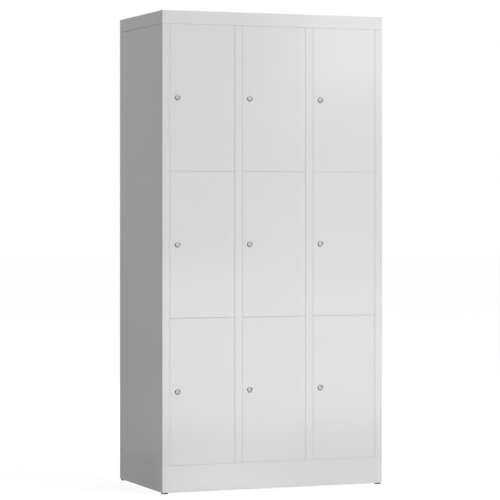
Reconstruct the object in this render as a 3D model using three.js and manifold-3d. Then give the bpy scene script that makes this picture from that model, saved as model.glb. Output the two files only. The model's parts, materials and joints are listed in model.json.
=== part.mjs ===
// Compartment locker in folded sheet steel: three columns of three doors, each with a cam lock.
// Millimetres, +Z up, and the doors face -Y. The origin is on the floor, under the middle of the locker.

import * as THREE from 'three';
import { mergeVertices } from 'three/addons/utils/BufferGeometryUtils.js';
import Module from 'manifold-3d';

const wasm = await Module();
wasm.setup();

// Overall form
const carcassWidth = 900;
const carcassDepth = 500;
const carcassHeight = 1800;
const columnNames = ['left', 'centre', 'right'];
const rowNames = ['bottom', 'middle', 'top'];

// Sheet steel: one thickness, one inside radius for every fold, and the gap between pieces that touch
const sheet = 0.8;
const bendRadius = 0.4;
const cornerRelief = 2;
const fit = 0.3;
const weldDepth = 0.2;

// Cap and plinth, two trays with their rims turned in
const capHeight = 50;
const capLip = 25;
const plinthHeight = 100;
const plinthLip = 30;
const gussetReach = 60;

// Posts, folded at the front of the sides and the uprights
const postWidth = 30;
const stopPlay = 1;
const stopFlange = 12;
const rearFlange = 15;

// Shelves
const swingPlay = 1.3;
const shelfLip = 20;
const shelfLipReturn = 8;
const shelfFlange = 15;

// Doors
const doorDepth = 20;
const doorSideGap = 1.2;
const doorSideLip = 15;
const doorEndLip = 12;
const hatWidth = 26;
const hatDepth = 14;
const hatFlare = 3;
const hatFoot = 12;
const hatEndGap = 24;

// Hinge rods, which run through all three doors of a column
const hingeInset = 14;
const hingeSetback = 5;
const rodRadius = 2;
const rodTail = 8;
const rodChamfer = 0.6;
const clipRadius = 3.6;
const clipThickness = 1;
const tongueWeb = 4;
const tongueSetback = 0.6;
const rowPlay = 0.4;

// Cam locks
const lockInset = 30;
const headRadius = 11.5;
const headProud = 3.5;
const headSkirt = 0.6;
const crownRadius = 6.8;
const barrelRadius = 9;
const barrelFlat = 8;
const nutAcross = 22;
const nutThickness = 4;
const plugRadius = 6;
const plugRecess = 0.8;
const plugChamfer = 0.5;
const keywayWidth = 2;
const keywayHeight = 8;
const keywayDepth = 9;
const tenonSide = 7;
const screwRadius = 5.5;
const screwThickness = 2.5;
const camPlay = 0.5;
const camThickness = 2;
const camReach = 32;
const camHubRadius = 9;
const camTipRadius = 6;

// Levelling feet
const footInset = 14;
const footShow = 5;
const padRadius = 13.2;
const padChamfer = 0.8;
const padFloor = 1.7;
const studRadius = 4;
const studLength = 28;
const studChamfer = 1;
const weldNutAcross = 13;
const weldNutHeight = 6.5;

// How finely round things are cut, and how far a cut runs past the face that it opens
const bendSteps = 2;
const rodSides = 8;
const studSides = 12;
const lockSides = 16;
const padSides = 20;
const hexSides = 6;
const overrun = 1;
const mergeDistance = 1e-4;

// Levels, planes and pitches that follow from the sizes above
const columns = columnNames.length;
const rows = rowNames.length;
const foldRadius = bendRadius + sheet;
const plinthTop = footShow + plinthHeight;
const lockerTop = footShow + carcassHeight;
const capBottom = lockerTop - capHeight;
const openingWidth = (carcassWidth - postWidth * (columns + 1)) / columns;
const openingHeight = (capBottom - plinthTop) / rows;
const columnPitch = openingWidth + postWidth;
const postReturn = doorDepth + stopPlay;
const backPanelRear = carcassDepth - sheet - fit;
const backPanelFront = backPanelRear - sheet;
const uprightRear = backPanelFront - fit;
const shelfRear = uprightRear - sheet - fit;
const doorSwing = Math.hypot(hingeInset - doorSideGap, doorDepth - hingeSetback);
const shelfFront = hingeSetback + doorSwing + swingPlay;
const rodHoleRadius = rodRadius + fit;
const rodCentre = openingWidth - hingeInset;
const rowGap = sheet + rowPlay * 2;
const camFront = postReturn + sheet + camPlay;

const steelCoat = new THREE.MeshStandardMaterial({ color: 0xdbdbdb, roughness: 0.42, metalness: 0 });
const chrome = new THREE.MeshStandardMaterial({ color: 0xcbcccd, roughness: 0.1, metalness: 1 });
const nickel = new THREE.MeshStandardMaterial({ color: 0xc8c8c7, roughness: 0.3, metalness: 1 });
const zinc = new THREE.MeshStandardMaterial({ color: 0xb4b8bc, roughness: 0.35, metalness: 1 });
const blackPlastic = new THREE.MeshStandardMaterial({ color: 0x1b1b1c, roughness: 0.55, metalness: 0 });

// A closed three.js geometry as a solid that can be joined and cut
function solidOf(geometry) {
  const bare = geometry.clone();
  bare.deleteAttribute('normal');
  bare.deleteAttribute('uv');
  const merged = mergeVertices(bare, mergeDistance);
  const index = merged.index.array;
  const kept = [];
  for (let corner = 0; corner < index.length; corner += 3) {
    const [a, b, c] = index.slice(corner, corner + 3);
    if (a !== b && b !== c && c !== a) {
      kept.push(a, b, c);
    }
  }
  const vertProperties = new Float32Array(merged.attributes.position.array);
  const mesh = new wasm.Mesh({ numProp: 3, vertProperties, triVerts: new Uint32Array(kept) });
  return new wasm.Manifold(mesh);
}

function geometryOf(solid) {
  const mesh = solid.getMesh();
  const geometry = new THREE.BufferGeometry();
  geometry.setAttribute('position', new THREE.BufferAttribute(mesh.vertProperties, mesh.numProp));
  geometry.setIndex(new THREE.BufferAttribute(mesh.triVerts, 1));
  geometry.computeVertexNormals();
  return geometry;
}

function block([x0, y0, z0], [x1, y1, z1]) {
  const geometry = new THREE.BoxGeometry(x1 - x0, y1 - y0, z1 - z0);
  geometry.translate((x0 + x1) / 2, (y0 + y1) / 2, (z0 + z1) / 2);
  return solidOf(geometry);
}

// Outlines pushed along Z, along X (drawn in Y and Z) and along Y (drawn in Z and X)
const axes = {
  x: new THREE.Vector3(1, 0, 0),
  y: new THREE.Vector3(0, 1, 0),
  z: new THREE.Vector3(0, 0, 1),
};
const turns = {
  x: new THREE.Matrix4().makeBasis(axes.y, axes.z, axes.x),
  y: new THREE.Matrix4().makeBasis(axes.z, axes.x, axes.y),
  z: new THREE.Matrix4().makeBasis(axes.x, axes.y, axes.z),
};

function pushed(shape, axis, from, to) {
  const geometry = new THREE.ExtrudeGeometry(shape, { depth: to - from, bevelEnabled: false });
  geometry.translate(0, 0, from);
  geometry.applyMatrix4(turns[axis]);
  return solidOf(geometry);
}

function upright(radius, sides, from, to, [x, y]) {
  const geometry = new THREE.CylinderGeometry(radius, radius, to - from, sides);
  geometry.rotateX(Math.PI / 2);
  geometry.translate(x, y, (from + to) / 2);
  return solidOf(geometry);
}

// The circle round a hexagon that measures this much across its flats
function hexRadius(across) {
  return across / 2 / Math.cos(Math.PI / hexSides);
}

// The outline of a folded sheet. The points run along one face, and the sheet lies to their left.
function foldedShape(points) {
  const face = points.map(([x, y]) => new THREE.Vector2(x, y));
  const normals = [];
  for (let i = 1; i < face.length; i += 1) {
    const run = face[i].clone().sub(face[i - 1]).normalize();
    normals.push(new THREE.Vector2(-run.y, run.x));
  }
  const near = [];
  const far = [];
  const station = (middle, normal) => {
    near.push(middle.clone().addScaledVector(normal, -sheet / 2));
    far.unshift(middle.clone().addScaledVector(normal, sheet / 2));
  };
  const middleRadius = bendRadius + sheet / 2;
  face.forEach((point, i) => {
    const before = normals[i - 1] ?? normals[i];
    const after = normals[i] ?? normals[i - 1];
    const miter = before.clone().add(after).divideScalar(1 + before.dot(after));
    const middle = point.clone().addScaledVector(miter, sheet / 2);
    const turn = Math.atan2(before.cross(after), before.dot(after));
    const side = Math.sign(turn);
    if (side === 0) {
      station(middle, after);
      return;
    }
    const centre = middle.addScaledVector(miter, side * middleRadius);
    for (let step = 0; step <= bendSteps; step += 1) {
      const normal = before.clone().rotateAround(new THREE.Vector2(), turn * step / bendSteps);
      station(centre.clone().addScaledVector(normal, -side * middleRadius), normal);
    }
  });
  return new THREE.Shape([...near, ...far]);
}

function roundedRectangle([u0, v0], [u1, v1], radius) {
  const corners = [[u1, v0], [u1, v1], [u0, v1], [u0, v0]];
  const points = corners.flatMap(([u, v], quarter) => {
    const centreU = u === u1 ? u - radius : u + radius;
    const centreV = v === v1 ? v - radius : v + radius;
    const centre = new THREE.Vector2(centreU, centreV);
    return Array.from({ length: bendSteps + 1 }, (_, step) => {
      const angle = (quarter - 1 + step / bendSteps) * Math.PI / 2;
      return centre.clone().add(new THREE.Vector2(Math.cos(angle), Math.sin(angle)).multiplyScalar(radius));
    });
  });
  return new THREE.Shape(points);
}

// A box with every edge rounded, as the outside or the inside of a tray folded from sheet
function roundedBlock([x0, y0, z0], [x1, y1, z1], radius) {
  const alongX = pushed(roundedRectangle([y0, z0], [y1, z1], radius), 'x', x0, x1);
  const alongY = pushed(roundedRectangle([z0, x0], [z1, x1], radius), 'y', y0, y1);
  const alongZ = pushed(roundedRectangle([x0, y0], [x1, y1], radius), 'z', z0, z1);
  return alongX.intersect(alongY).intersect(alongZ);
}

// A closed tray of sheet, which a mouth then opens
function tray(low, high) {
  const hollowLow = low.map((value) => value + sheet);
  const hollowHigh = high.map((value) => value - sheet);
  return roundedBlock(low, high, foldRadius).subtract(roundedBlock(hollowLow, hollowHigh, bendRadius));
}

const rodPlaces = columnNames.map((name, column) => [
  postWidth + column * columnPitch + rodCentre,
  hingeSetback,
]);

// A side or an upright with its post: rear flange, sheet, post, return and the flange that stops a door
function postSection(x, rear) {
  return foldedShape([
    [x + rearFlange, rear],
    [x, rear],
    [x, 0],
    [x + postWidth, 0],
    [x + postWidth, postReturn],
    [x + postWidth + stopFlange, postReturn],
  ]);
}

function leftSidePanel() {
  return pushed(postSection(0, carcassDepth), 'z', plinthTop + fit, capBottom - fit);
}

// On the right the doors are hinged, so the post's return turns away from them
function rightSidePanel() {
  const section = foldedShape([
    [carcassWidth - postWidth + stopFlange, postReturn],
    [carcassWidth - postWidth, postReturn],
    [carcassWidth - postWidth, 0],
    [carcassWidth, 0],
    [carcassWidth, carcassDepth],
    [carcassWidth - rearFlange, carcassDepth],
  ]);
  return pushed(section, 'z', plinthTop + fit, capBottom - fit);
}

// The sheet of an upright rises into the cap, between the cap's turned-in rims
function uprightPanel(column) {
  const x = column * columnPitch;
  const top = lockerTop - sheet - fit;
  const body = pushed(postSection(x, uprightRear), 'z', plinthTop + fit, top);
  const cutLeft = x - overrun;
  const cutRight = x + postWidth + stopFlange + overrun;
  const cutFloor = capBottom - fit;
  const frontCut = block([cutLeft, -overrun, cutFloor], [cutRight, capLip + fit, top + overrun]);
  const rearEdge = carcassDepth - capLip - fit;
  const rearCut = block([cutLeft, rearEdge, cutFloor], [cutRight, carcassDepth, top + overrun]);
  return body.subtract(frontCut).subtract(rearCut);
}

function backPanel() {
  const inset = sheet + fit;
  return block(
    [inset, backPanelFront, plinthTop + fit],
    [carcassWidth - inset, backPanelRear, capBottom - fit],
  );
}

function topCap() {
  const mouth = block(
    [capLip, capLip, capBottom - overrun],
    [carcassWidth - capLip, carcassDepth - capLip, capBottom + sheet + overrun],
  );
  const holes = rodPlaces.map((place) => (
    upright(rodHoleRadius, rodSides, capBottom - overrun, capBottom + sheet + overrun, place)
  ));
  const cap = tray([0, 0, capBottom], [carcassWidth, carcassDepth, lockerTop]).subtract(mouth);
  return holes.reduce((body, hole) => body.subtract(hole), cap);
}

const footPlaces = {
  front_left: [footInset, footInset],
  front_right: [carcassWidth - footInset, footInset],
  back_left: [footInset, carcassDepth - footInset],
  back_right: [carcassWidth - footInset, carcassDepth - footInset],
};

// The plinth's mouth is cut across its corners, which leaves a gusset over each foot
function plinthMouth() {
  const x0 = plinthLip;
  const x1 = carcassWidth - plinthLip;
  const y0 = plinthLip;
  const y1 = carcassDepth - plinthLip;
  const points = [
    [gussetReach, y0], [carcassWidth - gussetReach, y0],
    [x1, gussetReach], [x1, carcassDepth - gussetReach],
    [carcassWidth - gussetReach, y1], [gussetReach, y1],
    [x0, carcassDepth - gussetReach], [x0, gussetReach],
  ];
  const shape = new THREE.Shape(points.map(([x, y]) => new THREE.Vector2(x, y)));
  return pushed(shape, 'z', footShow - overrun, footShow + sheet + overrun);
}

function basePlinth() {
  let body = tray([0, 0, footShow], [carcassWidth, carcassDepth, plinthTop]).subtract(plinthMouth());
  const nutTop = footShow + sheet + weldNutHeight;
  for (const place of Object.values(footPlaces)) {
    const nut = upright(hexRadius(weldNutAcross), hexSides, footShow + sheet - weldDepth, nutTop, place);
    const bore = upright(studRadius + fit, studSides, footShow - overrun, nutTop + overrun, place);
    body = body.add(nut).subtract(bore);
  }
  const underFloor = plinthTop - sheet - overrun;
  for (const place of rodPlaces) {
    body = body.subtract(upright(rodHoleRadius, rodSides, underFloor, plinthTop + overrun, place));
  }
  return body;
}

// A shelf, drawn with its seam plane at z = 0: turned down all round, double at the front,
// and with a tongue that reaches forward between two doors to carry the hinge rod
function shelf(column) {
  const left = column * columnPitch + sheet + fit;
  const nextWall = column < columns - 1 ? (column + 1) * columnPitch : carcassWidth - sheet;
  const right = nextWall - fit;
  const top = sheet / 2;
  const frontToBack = foldedShape([
    [shelfRear, top - shelfFlange],
    [shelfRear, top],
    [shelfFront, top],
    [shelfFront, top - shelfLip],
    [shelfFront + shelfLipReturn, top - shelfLip],
  ]);
  const sideToSide = foldedShape([
    [top - shelfFlange, left],
    [top, left],
    [top, right],
    [top - shelfFlange, right],
  ]);
  const plate = pushed(frontToBack, 'x', left + cornerRelief, right - cornerRelief);
  const flanges = pushed(sideToSide, 'y', shelfFront + cornerRelief, shelfRear - cornerRelief);
  const [rodX, rodY] = rodPlaces[column];
  const tongueHalf = rodHoleRadius + tongueWeb;
  const slotLeft = rodX - tongueHalf - cornerRelief;
  const slotRight = rodX + hingeInset;
  const lipSlot = block(
    [slotLeft, shelfFront - overrun, top - shelfLip - overrun],
    [slotRight, shelfFront + cornerRelief, top + overrun],
  );
  const returnSlot = block(
    [slotLeft, shelfFront - overrun, top - shelfLip - overrun],
    [slotRight, shelfFront + shelfLipReturn + overrun, top - shelfLip + foldRadius],
  );
  const tongue = block(
    [rodX - tongueHalf, tongueSetback, -sheet / 2],
    [rodX + tongueHalf, shelfFront + cornerRelief * 2, sheet / 2],
  );
  const rodHole = upright(rodHoleRadius, rodSides, -overrun, overrun, [rodX, rodY]);
  return plate.add(flanges).subtract(lipSlot).subtract(returnSlot).add(tongue).subtract(rodHole);
}

// The outline of a lock's barrel, round with two flats, drawn in Z and X
function barrelShape(play) {
  const radius = barrelRadius + play;
  const flat = barrelFlat + play;
  const reach = Math.asin(flat / radius);
  const points = [0, Math.PI].flatMap((start) => (
    Array.from({ length: lockSides / 2 + 1 }, (_, step) => {
      const angle = start - reach + reach * 2 * step / (lockSides / 2);
      return new THREE.Vector2(Math.cos(angle) * radius, Math.sin(angle) * radius);
    })
  ));
  return new THREE.Shape(points);
}

// A door, drawn from its opening's lower left corner: a pan with turned-in rims and a welded hat profile
function door() {
  const low = [doorSideGap, 0, rowGap / 2];
  const high = [openingWidth - doorSideGap, doorDepth, openingHeight - rowGap / 2];
  const mouth = block(
    [low[0] + doorSideLip, doorDepth - sheet - overrun, low[2] + doorEndLip],
    [high[0] - doorSideLip, doorDepth + overrun, high[2] - doorEndLip],
  );
  const middle = openingWidth / 2;
  const foot = sheet - weldDepth;
  const crest = foot + hatDepth;
  const hatSection = foldedShape([
    [middle - hatWidth / 2 - hatFlare - hatFoot, foot],
    [middle - hatWidth / 2 - hatFlare, foot],
    [middle - hatWidth / 2, crest],
    [middle + hatWidth / 2, crest],
    [middle + hatWidth / 2 + hatFlare, foot],
    [middle + hatWidth / 2 + hatFlare + hatFoot, foot],
  ]);
  const hat = pushed(hatSection, 'z', low[2] + hatEndGap, high[2] - hatEndGap);
  const rodPlace = [rodCentre, hingeSetback];
  const rodHole = upright(rodHoleRadius, rodSides, -overrun, openingHeight + overrun, rodPlace);
  const lockHole = pushed(barrelShape(fit), 'y', -overrun, sheet + overrun)
    .translate([lockInset, 0, openingHeight / 2]);
  return tray(low, high).subtract(mouth).add(hat).subtract(rodHole).subtract(lockHole);
}

function turned(profile, sides) {
  const points = profile.map(([radius, height]) => new THREE.Vector2(radius, height));
  return solidOf(new THREE.LatheGeometry(points, sides));
}

function hingeRod() {
  const bottom = plinthTop - sheet - rodTail;
  const clip = capBottom + sheet + fit;
  const top = clip + clipThickness + rodTail;
  const rod = turned([
    [0, bottom],
    [rodRadius - rodChamfer, bottom],
    [rodRadius, bottom + rodChamfer],
    [rodRadius, clip],
    [clipRadius, clip],
    [clipRadius, clip + clipThickness],
    [rodRadius, clip + clipThickness],
    [rodRadius, top],
    [0, top],
  ], rodSides);
  return rod.rotate([90, 0, 0]);
}

// A lock's housing, drawn on its axis with the door's front at y = 0: coned head, barrel and nut
function lockHousing() {
  const boreRadius = plugRadius + fit;
  const head = turned([
    [0, -fit],
    [headRadius, -fit],
    [headRadius, -headSkirt],
    [crownRadius, -headProud],
    [0, -headProud],
  ].reverse(), lockSides);
  const barrel = pushed(barrelShape(0), 'y', -fit - weldDepth, doorDepth);
  const nutFront = sheet + fit;
  const nut = turned([
    [0, nutFront],
    [hexRadius(nutAcross), nutFront],
    [hexRadius(nutAcross), nutFront + nutThickness],
    [0, nutFront + nutThickness],
  ], hexSides);
  const bore = turned([
    [0, -headProud - overrun],
    [boreRadius, -headProud - overrun],
    [boreRadius, doorDepth + overrun],
    [0, doorDepth + overrun],
  ], lockSides);
  return head.add(barrel).add(nut).subtract(bore);
}

// The plug that the key turns, with the square tenon and the screw that hold the cam
function lockPlug() {
  const front = plugRecess - headProud;
  const shoulder = camFront - fit;
  const screw = camFront + camThickness + fit;
  const plug = turned([
    [0, front],
    [plugRadius - plugChamfer, front],
    [plugRadius, front + plugChamfer],
    [plugRadius, shoulder],
    [0, shoulder],
  ], lockSides);
  const keyway = block(
    [-keywayWidth / 2, front - overrun, -keywayHeight / 2],
    [keywayWidth / 2, front + keywayDepth, keywayHeight / 2],
  );
  const tenon = block(
    [-tenonSide / 2, shoulder - weldDepth, -tenonSide / 2],
    [tenonSide / 2, screw + weldDepth, tenonSide / 2],
  );
  const head = turned([
    [0, screw],
    [screwRadius, screw],
    [screwRadius, screw + screwThickness],
    [0, screw + screwThickness],
  ], lockSides);
  return plug.subtract(keyway).add(tenon).add(head);
}

// The cam hangs down when the door is free, and catches behind the post's flange a quarter turn on
function lockCam() {
  const tipDrop = camReach - camTipRadius;
  const lean = Math.asin((camHubRadius - camTipRadius) / tipDrop);
  const shape = new THREE.Shape();
  shape.absarc(0, 0, camHubRadius, -lean - Math.PI / 2, Math.PI / 2 + lean, false);
  shape.absarc(-tipDrop, 0, camTipRadius, Math.PI / 2 + lean, Math.PI * 3 / 2 - lean, false);
  const outline = new THREE.Shape(shape.getPoints(lockSides / 4));
  const camRear = camFront + camThickness;
  const blade = pushed(outline, 'y', camFront, camRear);
  const hole = tenonSide / 2 + fit;
  return blade.subtract(block([-hole, camFront - overrun, -hole], [hole, camRear + overrun, hole]));
}

function footPad() {
  const top = footShow - fit;
  const socket = studRadius + fit;
  const pad = turned([
    [0, 0],
    [padRadius - padChamfer, 0],
    [padRadius, padChamfer],
    [padRadius, top],
    [socket, top],
    [socket, padFloor],
    [0, padFloor],
  ], padSides);
  return pad.rotate([90, 0, 0]);
}

function footStud() {
  const bottom = padFloor + fit;
  const top = bottom + studLength;
  const stud = turned([
    [0, bottom],
    [studRadius, bottom],
    [studRadius, top - studChamfer],
    [studRadius - studChamfer, top],
    [0, top],
  ], studSides);
  return stud.rotate([90, 0, 0]);
}

// Assembly, measured from the front left corner of the carcass at floor level
const locker = new THREE.Group();
locker.position.set(-carcassWidth / 2, (headProud - carcassDepth) / 2, 0);

function piece(name, geometry, material, parent = locker, place = [0, 0, 0]) {
  const mesh = new THREE.Mesh(geometry, material);
  mesh.name = name;
  mesh.position.set(...place);
  parent.add(mesh);
}

piece('left_side_panel', geometryOf(leftSidePanel()), steelCoat);
piece('right_side_panel', geometryOf(rightSidePanel()), steelCoat);
piece('left_upright', geometryOf(uprightPanel(1)), steelCoat);
piece('right_upright', geometryOf(uprightPanel(2)), steelCoat);
piece('back_panel', geometryOf(backPanel()), steelCoat);
piece('top_cap', geometryOf(topCap()), steelCoat);
piece('base_plinth', geometryOf(basePlinth()), steelCoat);

const rodGeometry = geometryOf(hingeRod());
const doorGeometry = geometryOf(door());
const housingGeometry = geometryOf(lockHousing());
const plugGeometry = geometryOf(lockPlug());
const camGeometry = geometryOf(lockCam());

columnNames.forEach((columnName, column) => {
  piece(`hinge_rod_${columnName}`, rodGeometry, zinc, locker, [...rodPlaces[column], 0]);
  const shelfGeometry = geometryOf(shelf(column));
  ['lower', 'upper'].forEach((level, below) => {
    const seam = plinthTop + (below + 1) * openingHeight;
    piece(`shelf_${level}_${columnName}`, shelfGeometry, steelCoat, locker, [0, 0, seam]);
  });
  rowNames.forEach((rowName, row) => {
    const place = `${rowName}_${columnName}`;
    const leaf = new THREE.Group();
    leaf.position.set(postWidth + column * columnPitch, 0, plinthTop + row * openingHeight);
    locker.add(leaf);
    piece(`door_${place}`, doorGeometry, steelCoat, leaf);
    const lockPlace = [lockInset, 0, openingHeight / 2];
    piece(`lock_housing_${place}`, housingGeometry, chrome, leaf, lockPlace);
    piece(`lock_plug_${place}`, plugGeometry, nickel, leaf, lockPlace);
    piece(`lock_cam_${place}`, camGeometry, zinc, leaf, lockPlace);
  });
});

const padGeometry = geometryOf(footPad());
const studGeometry = geometryOf(footStud());
for (const [corner, [x, y]] of Object.entries(footPlaces)) {
  piece(`foot_pad_${corner}`, padGeometry, blackPlastic, locker, [x, y, 0]);
  piece(`foot_stud_${corner}`, studGeometry, zinc, locker, [x, y, 0]);
}

export default locker;
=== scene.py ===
import bpy
import bmesh
import json
import math
from mathutils import Matrix, Vector


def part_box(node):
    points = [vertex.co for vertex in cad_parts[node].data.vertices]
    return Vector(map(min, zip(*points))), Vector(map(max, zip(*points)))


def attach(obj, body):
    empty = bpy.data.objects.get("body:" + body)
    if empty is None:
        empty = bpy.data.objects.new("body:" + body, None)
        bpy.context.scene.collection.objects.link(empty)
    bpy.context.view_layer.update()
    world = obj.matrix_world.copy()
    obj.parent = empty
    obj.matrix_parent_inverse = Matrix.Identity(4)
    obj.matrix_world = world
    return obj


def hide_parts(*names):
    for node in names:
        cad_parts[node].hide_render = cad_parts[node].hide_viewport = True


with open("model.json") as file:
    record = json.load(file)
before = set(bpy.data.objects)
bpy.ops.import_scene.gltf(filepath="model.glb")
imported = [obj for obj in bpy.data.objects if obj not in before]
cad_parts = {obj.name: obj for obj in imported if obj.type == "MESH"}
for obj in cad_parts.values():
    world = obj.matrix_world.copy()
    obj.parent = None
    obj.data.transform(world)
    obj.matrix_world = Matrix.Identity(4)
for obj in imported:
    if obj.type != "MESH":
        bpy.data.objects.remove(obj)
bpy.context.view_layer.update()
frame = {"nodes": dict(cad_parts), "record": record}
mm = 0.001
columns = ["left", "centre", "right"]
cells = [f"{row}_{column}" for column in columns for row in ("bottom", "middle", "top")]
corners = ["front_left", "front_right", "back_left", "back_right"]
xAxis, yAxis, zAxis = Vector((1, 0, 0)), Vector((0, 1, 0)), Vector((0, 0, 1))

near = 1e-6  # two places closer than this, in metres, are the same
sharpAngle = math.radians(34)  # edges that turn more than this stay sharp
sameWay = 0.999  # cosine of the angle between two directions that count as one
fewSteps, someSteps, manySteps = 2, 3, 4  # segments of a rounded edge, by how much of it shows
holeSides, hexSides = 24, 6

# Sheet steel, the same in every folded piece
steel = {
    "thickness": 0.8 * mm,
    "outerRadius": 0.85 * mm,
    "innerRadius": 0.05 * mm,
    "foldSegments": 5,
}


# Camera, as fitted to the corners of the locker in the photograph
view = {
    "place": (-3.31157, -8.36156, 1.06209),
    "heading": 21.602,  # degrees to the right of the doors' normal
    "lens": 166.23,
    "sensorWidth": 36,
    "shiftY": -0.08136,
    "farEnd": 200,
}


def makeCamera():
    data = bpy.data.cameras.new("camera")
    data.lens = view["lens"]
    data.sensor_width = view["sensorWidth"]
    data.shift_y = view["shiftY"]
    data.clip_end = view["farEnd"]
    camera = bpy.data.objects.new("camera", data)
    camera.location = view["place"]
    camera.rotation_euler = (math.radians(90), 0, -math.radians(view["heading"]))
    bpy.context.scene.collection.objects.link(camera)
    bpy.context.scene.camera = camera
    print("camera placed")


makeCamera()


# Shader groups: each gives a normal, a roughness and a tone between 0 and 1
noiseSpan = (0.3, 0.7)  # a noise mostly stays between these


def makeGroup(name, inputs):
    group = bpy.data.node_groups.new(name, "ShaderNodeTree")
    for label in inputs:
        group.interface.new_socket(label, in_out="INPUT", socket_type="NodeSocketFloat")
    group.interface.new_socket("Normal", in_out="OUTPUT", socket_type="NodeSocketVector")
    for label in ("Roughness", "Tone"):
        group.interface.new_socket(label, in_out="OUTPUT", socket_type="NodeSocketFloat")
    return group, group.nodes.new("NodeGroupInput"), group.nodes.new("NodeGroupOutput")


def link(tree, start, end):
    tree.links.new(start, end)


def noise(tree, vector, scale, detail=2.0, roughness=0.5):
    node = tree.nodes.new("ShaderNodeTexNoise")
    node.inputs["Detail"].default_value = detail
    node.inputs["Roughness"].default_value = roughness
    link(tree, vector, node.inputs["Vector"])
    if isinstance(scale, (int, float)):
        node.inputs["Scale"].default_value = scale
    else:
        link(tree, scale, node.inputs["Scale"])
    return node.outputs["Fac"]


def remap(tree, value, low, high, outLow, outHigh):
    node = tree.nodes.new("ShaderNodeMapRange")
    labels = ("Value", "From Min", "From Max", "To Min", "To Max")
    for label, part in zip(labels, (value, low, high, outLow, outHigh)):
        if isinstance(part, (int, float)):
            node.inputs[label].default_value = part
        else:
            link(tree, part, node.inputs[label])
    return node.outputs["Result"]


def bump(tree, height, distance, normal=None):
    node = tree.nodes.new("ShaderNodeBump")
    node.inputs["Strength"].default_value = 1.0
    link(tree, height, node.inputs["Height"])
    if isinstance(distance, (int, float)):
        node.inputs["Distance"].default_value = distance
    else:
        link(tree, distance, node.inputs["Distance"])
    if normal is not None:
        link(tree, normal, node.inputs["Normal"])
    return node.outputs["Normal"]


def objectPoint(tree):
    return tree.nodes.new("ShaderNodeTexCoord").outputs["Object"]


# Sprayed or moulded skin: fine peel on a slow wave, with a roughness that drifts
def makeSkinGroup():
    group, given, out = makeGroup(
        "skin", ("Peel Scale", "Peel Depth", "Wave Scale", "Wave Depth", "Rough Low", "Rough High"))
    point = objectPoint(group)
    slow = noise(group, point, given.outputs["Wave Scale"], detail=1.0)
    fine = noise(group, point, given.outputs["Peel Scale"], detail=2.0, roughness=0.6)
    waved = bump(group, slow, given.outputs["Wave Depth"])
    link(group, bump(group, fine, given.outputs["Peel Depth"], waved), out.inputs["Normal"])
    drift = noise(group, point, scale=14.0, detail=3.0)
    rough = remap(group, drift, *noiseSpan, given.outputs["Rough Low"], given.outputs["Rough High"])
    link(group, rough, out.inputs["Roughness"])
    cloud = noise(group, point, scale=3.5, detail=4.0, roughness=0.55)
    link(group, remap(group, cloud, *noiseSpan, 0.0, 1.0), out.inputs["Tone"])
    return group


# Fine parallel marks left by drawing, rolling or polishing, along one axis of the piece
def makeGrainGroup():
    group, given, out = makeGroup("grain", ("Across", "Along", "Depth", "Rough Low", "Rough High"))
    point = objectPoint(group)
    stretch = group.nodes.new("ShaderNodeCombineXYZ")
    link(group, given.outputs["Across"], stretch.inputs["X"])
    link(group, given.outputs["Across"], stretch.inputs["Y"])
    link(group, given.outputs["Along"], stretch.inputs["Z"])
    scaled = group.nodes.new("ShaderNodeVectorMath")
    scaled.operation = "MULTIPLY"
    link(group, point, scaled.inputs[0])
    link(group, stretch.outputs["Vector"], scaled.inputs[1])
    lines = noise(group, scaled.outputs["Vector"], scale=1.0, detail=3.0, roughness=0.6)
    link(group, bump(group, lines, given.outputs["Depth"]), out.inputs["Normal"])
    rough = remap(group, lines, *noiseSpan, given.outputs["Rough Low"], given.outputs["Rough High"])
    link(group, rough, out.inputs["Roughness"])
    cloud = noise(group, point, scale=120.0, detail=3.0, roughness=0.6)
    link(group, remap(group, cloud, *noiseSpan, 0.0, 1.0), out.inputs["Tone"])
    return group


skinGroup = makeSkinGroup()
grainGroup = makeGrainGroup()


def makeMaterial(name, group, values, darkTone, lightTone, metallic):
    material = bpy.data.materials.new(name)
    material.use_nodes = True
    tree = material.node_tree
    shader = tree.nodes["Principled BSDF"]
    shader.inputs["Metallic"].default_value = metallic
    effect = tree.nodes.new("ShaderNodeGroup")
    effect.node_tree = group
    for label, value in values.items():
        effect.inputs[label].default_value = value
    tones = tree.nodes.new("ShaderNodeMix")
    tones.data_type = "RGBA"
    tones.inputs["A"].default_value = (*darkTone, 1)
    tones.inputs["B"].default_value = (*lightTone, 1)
    link(tree, effect.outputs["Tone"], tones.inputs["Factor"])
    link(tree, tones.outputs["Result"], shader.inputs["Base Color"])
    link(tree, effect.outputs["Roughness"], shader.inputs["Roughness"])
    link(tree, effect.outputs["Normal"], shader.inputs["Normal"])
    return material


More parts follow.
